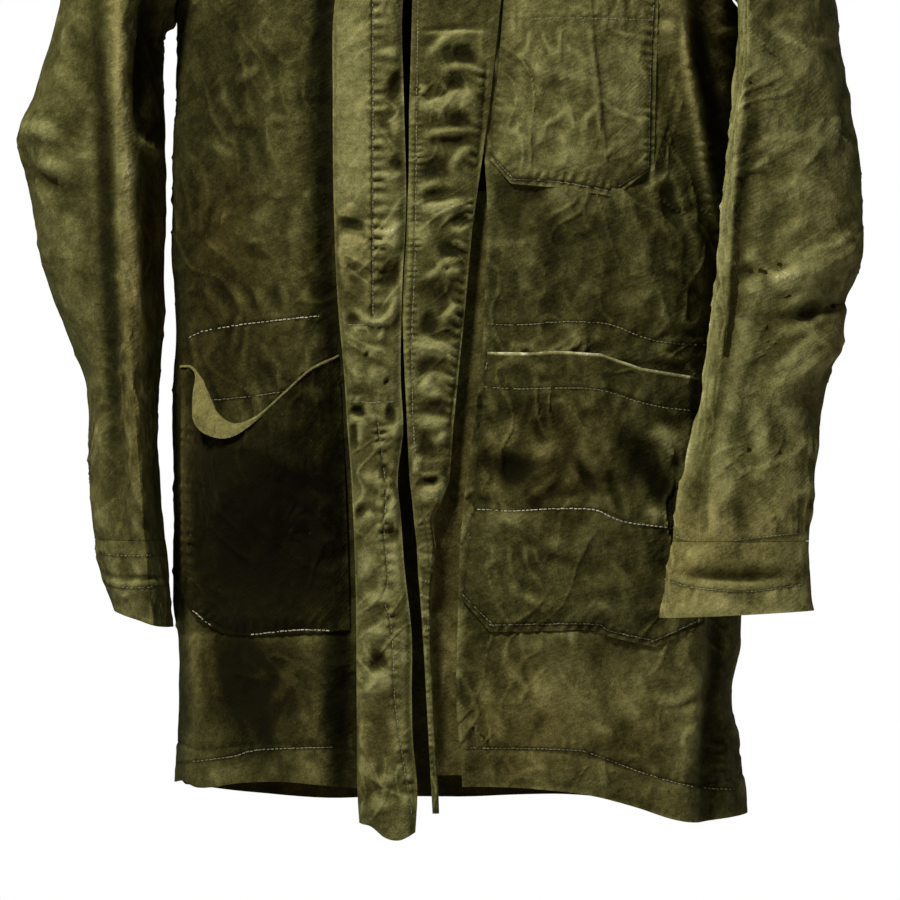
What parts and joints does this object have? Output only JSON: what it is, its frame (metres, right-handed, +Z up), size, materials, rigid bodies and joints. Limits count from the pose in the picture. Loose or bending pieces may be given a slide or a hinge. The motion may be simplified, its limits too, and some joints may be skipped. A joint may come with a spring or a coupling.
{
  "type": "military work shirt",
  "caption": "Long olive cotton military shirt, hanging hollow and open with sleeves down: turned collar, patch pockets at chest and hips, right hip pocket sagging open.",
  "frame": {"origin": "at the neck, on the middle line, level with the tops of the shoulders, where the shirt is held up", "axes": "+Z up, the front faces -Y, the wearer's left side is at +X"},
  "size_m": [0.6967, 0.3303, 0.9387],
  "materials": {
    "right_front_cloth": "washed matt cotton twill",
    "left_front_cloth": "washed matt cotton twill",
    "back_cloth": "washed matt cotton twill",
    "button_stand_cloth": "washed matt cotton twill",
    "fly_cloth": "washed matt cotton twill",
    "facing_cloth": "washed matt cotton twill",
    "right_sleeve_cloth": "washed matt cotton twill",
    "left_sleeve_cloth": "washed matt cotton twill",
    "right_cuff_cloth": "washed matt cotton twill",
    "left_cuff_cloth": "washed matt cotton twill",
    "collar_cloth": "washed matt cotton twill",
    "chest_pocket_cloth": "washed matt cotton twill",
    "left_pocket_cloth": "washed matt cotton twill",
    "right_pocket_cloth": "washed matt cotton twill"
  },
  "bodies": {
    "root": {"right_front": "right_front_cloth", "left_front": "left_front_cloth", "back": "back_cloth", "right_button_stand": "button_stand_cloth", "left_fly": "fly_cloth", "left_facing": "facing_cloth", "right_sleeve": "right_sleeve_cloth", "left_sleeve": "left_sleeve_cloth", "right_cuff": "right_cuff_cloth", "left_cuff": "left_cuff_cloth", "collar": "collar_cloth", "chest_pocket": "chest_pocket_cloth", "left_lower_pocket": "left_pocket_cloth", "right_lower_pocket": "right_pocket_cloth"}
  },
  "joints": []
}
